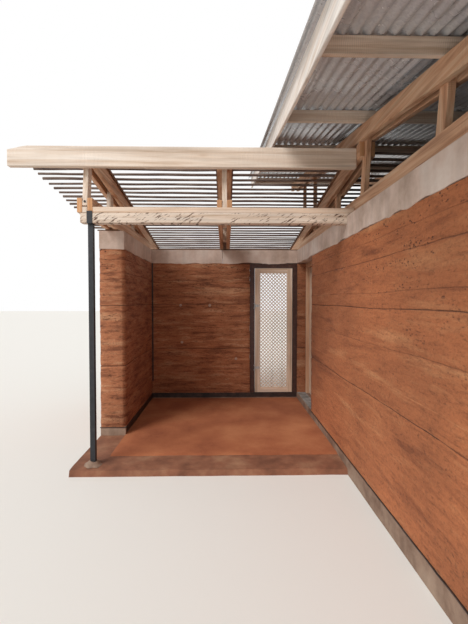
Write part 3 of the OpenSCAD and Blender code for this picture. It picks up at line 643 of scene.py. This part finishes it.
def makeFeltStrips(look):
    mesh = bmesh.new()
    thick, lap, cover, bite = look["thickness"], look["lap"], look["cover"], look["bite"]
    for node in ("wing_wall", "west_wall", "south_wall", "east_wall", "north_wall"):
        low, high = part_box(node)
        start = len(mesh.verts)
        addBlock(mesh, (low.x - lap, low.y - lap, low.z - thick), (high.x + lap, high.y + lap, low.z + thick))
        cutLengths(mesh, start, (look["step"], look["step"], 0))
        for vert in madeSince(mesh, start):
            p = vert.co
            p.z += look["ripple"]*drift(p.x*7, p.y*7, 0)
            if max(low.x - p.x, p.x - high.x, low.y - p.y, p.y - high.y) > 0:  # outside the wall
                p.z -= look["droop"]*(1 + drift(p.x*9, p.y*9, 4))
    wingLow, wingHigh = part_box("wing_wall")
    northLow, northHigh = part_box("north_wall")
    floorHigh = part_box("porch_floor")[1]
    start = len(mesh.verts)
    addBlock(mesh, (wingHigh.x - bite, wingLow.y + look["setBack"], wingLow.z - look["drop"]),
             (wingHigh.x + cover, wingHigh.y, wingLow.z))
    addBlock(mesh, (wingHigh.x, northLow.y - cover, northLow.z - look["drop"]),
             (floorHigh.x, northLow.y + bite, northLow.z))
    # a strip of the dark felt up the inner corner where the wing wall was rammed against the back wall: a dark
    # sheet put there as painted shade of the corner
    addBlock(mesh, (wingHigh.x - cover, northLow.y - thick, northLow.z + look["shadeStripFoot"]),
             (wingHigh.x + look["shadeStripWidth"], northLow.y + cover, northHigh.z))
    cutLengths(mesh, start, look["turnedStep"])
    wear(mesh, start, look["creases"], look["creaseSize"])
    finishPiece("feltStrips", mesh, "felt", smooth=0.7)


makeFeltStrips(felt)
print("concrete cast")

# Mortar plugs where the formwork's ties went through the back wall, and a screed on the doorway's threshold
wallDetails = {"plugs": ((-0.73, 1.62), (-0.25, 1.62), (-0.71, 1.01), (0.185, 0.73)), "plugRadius": 0.025,
               "plugTaper": 0.85, "plugDepth": 0.02, "plugProud": 0.004, "plugSides": 14,
               "plugWear": 0.004, "plugLumps": (0.03, 0.03, 0.03),
               "screed": 0.002, "screedBack": 0.01, "screedSide": 0.002, "screedBed": 0.004,
               "screedWaves": 0.001, "screedStep": (0.05, 0.05, 0)}


def makeWallDetails(look):
    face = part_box("north_wall")[0].y
    radius, depth = look["plugRadius"], look["plugDepth"]
    mesh = bmesh.new()
    for x, z in look["plugs"]:
        start = len(mesh.verts)
        addBar(mesh, "X", (x, face - look["plugProud"] + depth/2, z), depth, radius,
               radius*look["plugTaper"], look["plugSides"])
        wear(mesh, start, look["plugWear"], look["plugLumps"], seed=x, keep=(1,))
    finishPiece("tiePlugs", mesh, "plugMortar", smooth=0.6)

    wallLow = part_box("west_wall")[0]
    frameLow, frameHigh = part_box("door_frame")
    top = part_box("side_plinths")[1].z
    mesh = bmesh.new()
    addBlock(mesh, (wallLow.x + look["screedBack"], frameLow.y + look["screedSide"], top - look["screedBed"]),
             (frameLow.x - touch, frameHigh.y - look["screedSide"], top + look["screed"]))
    cutLengths(mesh, 0, look["screedStep"])
    for vert in mesh.verts:
        if vert.co.z > top:
            vert.co.z += look["screedWaves"]*noise.noise(vert.co*12)
    finishPiece("thresholdScreed", mesh, "screed", smooth=0.7)


makeWallDetails(wallDetails)


def softCopy(node, piece, finish, width, slot, body="house", segments=1, ends=None):
    # a copy of a CAD node with its edges eased as a saw and a plane leave them
    mesh = bmesh.new()
    mesh.from_mesh(cad[node].data)
    bmesh.ops.remove_doubles(mesh, verts=mesh.verts, dist=weld)
    bmesh.ops.dissolve_limit(mesh, angle_limit=0.03, verts=mesh.verts, edges=mesh.edges)
    sharp = [e for e in mesh.edges if len(e.link_faces) == 2 and e.calc_face_angle(0) > 0.5]
    bevelEdges(mesh, sharp, width, segments)
    if ends is not None:  # the faces across this axis show end grain
        mesh.normal_update()
        for face in mesh.faces:
            if abs(face.normal[ends]) > 0.85:
                face.material_index = 1
        finish = [finish, "endGrain"]
    finishPiece(piece, mesh, finish, [node], body=body)


# Boards and steel as sawn and rolled, and the width that their edges are eased by
eased = {"board": 0.003, "oldBoard": 0.002, "door": 0.0025, "frame": 0.0012, "post": 0.003}
for node, piece, finish, width, slot, extras in (
        ("porch_bottom_chords", "porchBottomChords", "sawnY", "board", "sawn_timber", {"ends": 1}),
        ("porch_lattice_chords", "porchLatticeChords", "sawnY", "board", "sawn_timber", {"ends": 1}),
        # the webs are sawn boards like the chords, finished in the pale tones as painted sunlight
        ("porch_webs", "porchWebs", "paleZ", "board", "sawn_timber", {}),
        ("room_bottom_chords", "roomBottomChords", "sawnY", "board", "sawn_timber", {"ends": 1}),
        ("room_rafters", "roomRafters", "sawnY", "board", "sawn_timber", {"ends": 1}),
        ("room_lattice_chords", "roomLatticeChords", "sawnY", "board", "sawn_timber", {"ends": 1}),
        ("room_posts", "roomPosts", "sawnZ", "board", "sawn_timber", {}),
        ("bedding_planks", "beddingPlanks", "oldX", "oldBoard", "old_timber", {}),
        ("pole_boards", "poleBoards", "oldY", "oldBoard", "old_timber", {}),
        # the purlins are sawn boards in the pale tones, painted lighter than their timber as painted light
        ("purlins", "purlinBoards", "paleX", "board", "sawn_timber", {}),
        ("barge_boards", "bargeBoards", "bargeY", "board", "sawn_timber", {}),
        ("door_frame", "roomDoorFrame", "sawnZ", "door", "sawn_timber", {}),
        ("door_leaf", "roomDoorLeaf", "doorZ", "door", "door_timber", {"body": "room_door"}),
        ("screen_frame", "screenSteelFrame", "brownSteel", "frame", "dark_steel", {"segments": 2}),
        ("steel_post", "steelPost", "steel", "post", "dark_steel", {"segments": 2})):
    softCopy(node, piece, finish, eased[width], slot, **extras)
for node in ("screen_hinge_straps", "door_hinge_straps", "hinge_pins"):
    cad[node].data.materials.clear()
    cad[node].data.materials.append(finishes["plated"])
print("boards and steel eased")

# The sawn beam, the packing board and the broad fascia board at the front
frontTimbers = {"warp": 0.0024, "roughness": 0.0012, "edge": 0.006, "beamStep": (0.05, 0, 0),
                "fasciaStep": (0.06, 0, 0.05), "fasciaWarp": 0.003,
                "splitLength": 0.16, "splitHeight": 0.03, "splitDepth": 0.034, "splinters": 0.006}


def makeFrontTimbers(look):
    for node, name, finish in (("front_beam", "frontBeam", "beamX"), ("packing_board", "packingBoard", "packX")):
        low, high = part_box(node)
        mesh = bmesh.new()
        bevelEdges(mesh, edgesOf(addBlock(mesh, low, high)), look["edge"])
        cutLengths(mesh, 0, look["beamStep"])
        for vert in mesh.verts:
            p = vert.co
            saw = drift(p.x*2.2, p.y*9, p.z*9)*look["warp"] + drift(p.x*28, p.y*20, p.z*20)*look["roughness"]
            p.y += saw
            p.z += 0.5*saw*(1 if p.z > (low.z + high.z)/2 else -1)
        finishPiece(name, mesh, finish, [node], smooth=0.5)
    low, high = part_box("front_fascia")
    mesh = bmesh.new()
    bevelEdges(mesh, edgesOf(addBlock(mesh, low, high)), look["edge"])
    cutLengths(mesh, 0, look["fasciaStep"])
    for vert in mesh.verts:
        p = vert.co
        fromEnd, fromTop = p.x - low.x, high.z - p.z
        if fromTop < look["splitHeight"] and fromEnd < look["splitLength"]:  # split away along the grain
            share = 1 - fromEnd/look["splitLength"]
            p.z -= (look["splitDepth"]*share*(1 - fromTop/look["splitHeight"])
                    + look["splinters"]*(1 + noise.noise(p*30))*share)
        p.y += look["fasciaWarp"]*drift(p.x*1.3, 0, p.z*6)
    finishPiece("frontFascia", mesh, "paleX", ["front_fascia"], smooth=0.5)


makeFrontTimbers(frontTimbers)

# Bolt through the foot of the wing truss's front web, with its washer
webBolt = {"height": 2.656, "head": 0.007, "headDepth": 0.005, "washer": 0.011, "washerDepth": 0.002,
           "footHeight": 2.8, "webWidth": 0.06}


def makeWebBolt(look):
    spots = [v.co for v in cad["porch_webs"].data.vertices if v.co.x < 0 and v.co.z < look["footHeight"]]
    west = min(p.x for p in spots)
    foot = [p for p in spots if p.x < west + look["webWidth"]]
    front = min(p.y for p in foot)
    across = [p.x for p in foot if p.y < front + 0.002]
    middle = (min(across) + max(across))/2
    mesh = bmesh.new()
    for radius, depth, sides in ((look["washer"], look["washerDepth"], 20), (look["head"], look["headDepth"], 6)):
        addBar(mesh, "X", (middle, front - depth/2, look["height"]), depth, radius, radius, sides)
    finishPiece("webBolt", mesh, "steel", smooth=0.6)


makeWebBolt(webBolt)

# Crooked poles with their bark on, laid across the porch and the room
poles = {"sides": 10, "step": 0.12, "sway": 0.018, "kinks": 0.007, "lift": 0.006, "thin": 0.2, "knobs": 0.07,
         "mixed": 0.16, "overhang": 0.03, "uneven": 0.05}


def poleBoxes(node):  # the reach of each pole along x, y and z; one island of the CAD mesh is one pole
    source = bmesh.new()
    source.from_mesh(cad[node].data)
    bmesh.ops.remove_doubles(source, verts=source.verts, dist=weld)
    left, boxes = set(source.verts), []
    while left:
        island, queue = set(), [left.pop()]
        while queue:
            vert = queue.pop()
            island.add(vert)
            for edge in vert.link_edges:
                other = edge.other_vert(vert)
                if other in left:
                    left.discard(other)
                    queue.append(other)
        boxes.append([(min(v.co[k] for v in island), max(v.co[k] for v in island)) for k in range(3)])
    source.free()
    return sorted(boxes, key=lambda box: box[1])


def makePoles(look):
    for node, name in (("porch_poles", "porchPoles"), ("room_poles", "roomPoles")):
        mesh = bmesh.new()
        for index, (xs, ys, zs) in enumerate(poleBoxes(node)):
            radius, middle, length = (ys[1] - ys[0])/2, (xs[0] + xs[1])/2, xs[1] - xs[0]
            start = len(mesh.verts)
            addBar(mesh, "Y", (middle, 0, 0), length, radius, radius, look["sides"])
            cutLengths(mesh, start, (look["step"], 0, 0))
            taper = 1 if index % 2 else -1  # thick ends lie east and west in turn
            size = 1 + look["mixed"]*drift(index*1.7, 3.3, 0.5)
            made = madeSince(mesh, start)
            for vert in made:
                p = vert.co
                girth = (size - look["thin"]*(0.5 + taper*(p.x - middle)/length)
                         + look["knobs"]*drift(p.x*5, index*3.1, p.y*30))
                sway = (look["sway"]*drift(p.x*1.1, index*7.7, 0)
                        + look["kinks"]*drift(p.x*5, index*5.1, 0))
                lift = look["lift"]*drift(p.x*1.3, index*4.3, 9)
                p.y = (ys[0] + ys[1])/2 + p.y*girth + sway
                p.z = (zs[0] + zs[1])/2 + p.z*girth + lift - 0.5*radius*(1 - girth)
            if node == "porch_poles":  # the poles were never trimmed to one line
                reach = look["uneven"]*drift(index*2.3, 1, 1)
                for vert in made:
                    if abs(vert.co.x - xs[0]) < touch:
                        vert.co.x += look["overhang"] + reach
        finishPiece(name, mesh, "bark", [node], smooth=0.9)


makePoles(poles)
print("poles laid")

# Corrugated sheets, lapped by one wave at the sides and 150 mm at the ends
sheets = {"pitch": 0.076, "depth": 0.018, "thickness": 0.0008, "waves": 10, "perWave": 10, "rows": 3,
          "lap": 0.15, "sag": 0.0015, "rowLift": 0.0011, "sideLift": 0.001, "crease": 1.2}


def makeSheets(look):
    low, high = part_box("roof_sheets")
    corners = [v.co for v in cad["roof_sheets"].data.vertices]
    south = min(p.z for p in corners if p.y < low.y + 0.02)
    north = min(p.z for p in corners if p.y > high.y - 0.02)
    slope = (north - south)/(high.y - low.y)
    waves = int((high.x - low.x)/look["pitch"] + 0.01)
    columns, at = [], 0  # the first and the last wave of each sheet
    while at < waves:
        columns.append((at, min(at + look["waves"], waves)))
        at += look["waves"] - 1
        if waves - at < 2:
            columns[-1] = (columns[-1][0], waves)
            break
    length = (high.y - low.y)/look["rows"]
    mesh = bmesh.new()
    for row in range(look["rows"]):
        y0 = low.y + row*length - (look["lap"] if row else 0)
        y1 = low.y + (row + 1)*length
        for order, (first, last) in enumerate(columns):
            across = (last - first)*look["perWave"]
            for vert in bmesh.ops.create_grid(mesh, x_segments=across, y_segments=4, size=0.5)["verts"]:
                x = low.x + (first + (vert.co.x + 0.5)*(last - first))*look["pitch"]
                y = y0 + (vert.co.y + 0.5)*(y1 - y0)
                wave = 0.5*(1 - math.cos(2*math.pi*(x - low.x)/look["pitch"]))
                sag = look["sag"]*drift(x*1.5, y*0.8, row*3 + order)
                vert.co = (x, y, south + slope*(y - low.y) + look["depth"]*wave
                           + look["rowLift"]*(row % 2) + look["sideLift"]*(order % 2) + sag)
    piece = finishPiece("roofSheets", mesh, "zinc", ["roof_sheets"], smooth=look["crease"])
    wall = piece.modifiers.new("sheetMetal", "SOLIDIFY")
    wall.thickness, wall.offset = look["thickness"], 1.0
    bakeModifiers(piece).set_sharp_from_angle(angle=look["crease"])


makeSheets(sheets)
print("sheets laid")

# Framed leaf and diamond lattice of the screen door
screenDoor = {"strip": 0.013, "stripThick": 0.004, "pitch": 0.058, "reach": 1.45, "jointGap": 0.0008,
              "edge": 0.002}


def makeScreenDoor(look):
    low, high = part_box("screen_leaf")
    inLow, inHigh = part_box("screen_mesh")
    gap = look["jointGap"]
    mesh = bmesh.new()
    for a, b, kind in (((low.x, low.y, low.z), (inLow.x, high.y, high.z), 0),
                       ((inHigh.x, low.y, low.z), (high.x, high.y, high.z), 0),
                       ((inLow.x + gap, low.y, low.z), (inHigh.x - gap, high.y, inLow.z), 1),
                       ((inLow.x + gap, low.y, inHigh.z), (inHigh.x - gap, high.y, high.z), 1)):
        start = len(mesh.verts)
        bevelEdges(mesh, edgesOf(addBlock(mesh, a, b)), look["edge"])
        for face in {f for v in madeSince(mesh, start) for f in v.link_faces}:
            face.material_index = kind
    finishPiece("screenLeaf", mesh, ["doorZ", "doorX"], ["screen_leaf"], body="screen_door")

    mesh = bmesh.new()
    strip, thick, pitch = look["strip"], look["stripThick"], look["pitch"]
    middle, around = (inLow.y + inHigh.y)/2, inHigh.x - inLow.x + inHigh.z - inLow.z
    reach = around*look["reach"]
    for side in (-1, 1):
        for k in range(int(around/pitch) + 1):
            off = (k + 0.5)*pitch
            verts = addBlock(mesh, (-reach, -thick/2, -strip/2), (reach, thick/2, strip/2))
            bmesh.ops.rotate(mesh, verts=verts, cent=(0, 0, 0), matrix=Matrix.Rotation(side*math.pi/4, 3, "Y"))
            centre = (inLow.x + off if side > 0 else inHigh.x - off, middle + side*thick/2, inLow.z)
            bmesh.ops.translate(mesh, verts=verts, vec=centre)
    for point, normal in (((inLow.x, 0, 0), (-1, 0, 0)), ((inHigh.x, 0, 0), (1, 0, 0)),
                          ((0, 0, inLow.z), (0, 0, -1)), ((0, 0, inHigh.z), (0, 0, 1))):
        bmesh.ops.bisect_plane(mesh, geom=[*mesh.verts, *mesh.edges, *mesh.faces], dist=0.00005,
                               plane_co=point, plane_no=normal, clear_outer=True)
    cutEdges = [e for e in mesh.edges if len(e.link_faces) == 1]
    bmesh.ops.holes_fill(mesh, edges=cutEdges, sides=8)
    finishPiece("screenLattice", mesh, "doorZ", ["screen_mesh"], body="screen_door")


makeScreenDoor(screenDoor)

# Upright boards of the room's door, with a groove at each joint
roomDoor = {"boards": 7, "groove": 0.004}


def makeDoorBoards(look):
    low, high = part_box("door_panel")
    mesh = bmesh.new()
    width = (high.y - low.y)/look["boards"]
    for k in range(look["boards"]):
        board = addBlock(mesh, (low.x, low.y + k*width, low.z), (high.x, low.y + (k + 1)*width, high.z))
        bevelEdges(mesh, uprightEdges(board), look["groove"])
    finishPiece("roomDoorBoards", mesh, "doorZ", ["door_panel"], body="room_door")


makeDoorBoards(roomDoor)
print("doors made")

# Mortar heaped round the post's foot
postFoot = {"radius": 0.085, "top": 0.036, "height": 0.06, "sides": 28}


def makePostFoot(look):
    low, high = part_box("steel_post")
    centre = ((low.x + high.x)/2, (low.y + high.y)/2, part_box("porch_slab")[1].z)
    mesh = bmesh.new()
    bmesh.ops.create_cone(mesh, segments=look["sides"], radius1=look["radius"], radius2=look["top"],
                          depth=look["height"], cap_ends=True)
    sloping = [e for e in mesh.edges if abs(e.verts[0].co.z - e.verts[1].co.z) > 0.01]
    bmesh.ops.subdivide_edges(mesh, edges=sloping, cuts=3, use_grid_fill=True)
    bmesh.ops.translate(mesh, verts=mesh.verts, vec=(0, 0, look["height"]/2))
    for vert in mesh.verts:
        spread = 1 + 0.28*noise.noise(vert.co*22) + 0.25*drift(vert.co.x*9, vert.co.y*9, 5)
        vert.co.x *= spread
        vert.co.y *= spread
        vert.co.z = max(0.0, vert.co.z*(0.75 + 0.4*noise.noise(vert.co*15)) - 0.002)
    bmesh.ops.translate(mesh, verts=mesh.verts, vec=centre)
    finishPiece("postMortar", mesh, "plinthConcrete", smooth=0.9)


makePostFoot(postFoot)

# Stage: a pale floor and plain soft light
stageLook = {"floor": "#e9e6e0", "floorSize": 60.0, "sky": 0.62, "sun": 2.3, "sunAngle": 0.5,
             "sunFrom": (-0.75, -0.85, 0.95)}


def makeStage(look):
    mesh = bmesh.new()
    bmesh.ops.create_grid(mesh, x_segments=1, y_segments=1, size=look["floorSize"])
    floor = addMeshObject("studioFloor", mesh)
    material, _, shader, _ = startMaterial("studioFloor", 0.9)
    shader.inputs["Base Color"].default_value = colour(look["floor"])
    floor.data.materials.append(material)
    world = bpy.data.worlds.new("plainSky")
    bpy.context.scene.world = world
    world.use_nodes = True
    tree = world.node_tree
    background = tree.nodes["Background"]
    background.inputs[0].default_value = (1.0, 1.0, 1.0, 1.0)
    path = addNode(tree, "LightPath").outputs
    shown = path["Is Camera Ray"]  # white to the camera and in reflections, soft on the object
    for ray in ("Is Glossy Ray", "Is Transmission Ray"):
        shown = addNode(tree, "Math", {"operation": "MAXIMUM"}, {0: shown, 1: path[ray]})
    strength = addNode(tree, "MapRange", {1: 0.0, 2: 1.0, 3: look["sky"], 4: 1.0}, {0: shown})
    tree.links.new(strength.outputs[0], background.inputs[1])
    lamp = bpy.data.lights.new("softKey", "SUN")
    lamp.energy, lamp.angle = look["sun"], look["sunAngle"]
    key = addObject("softKey", lamp)
    key.rotation_euler = Vector(look["sunFrom"]).to_track_quat("Z", "Y").to_euler()


makeStage(stageLook)
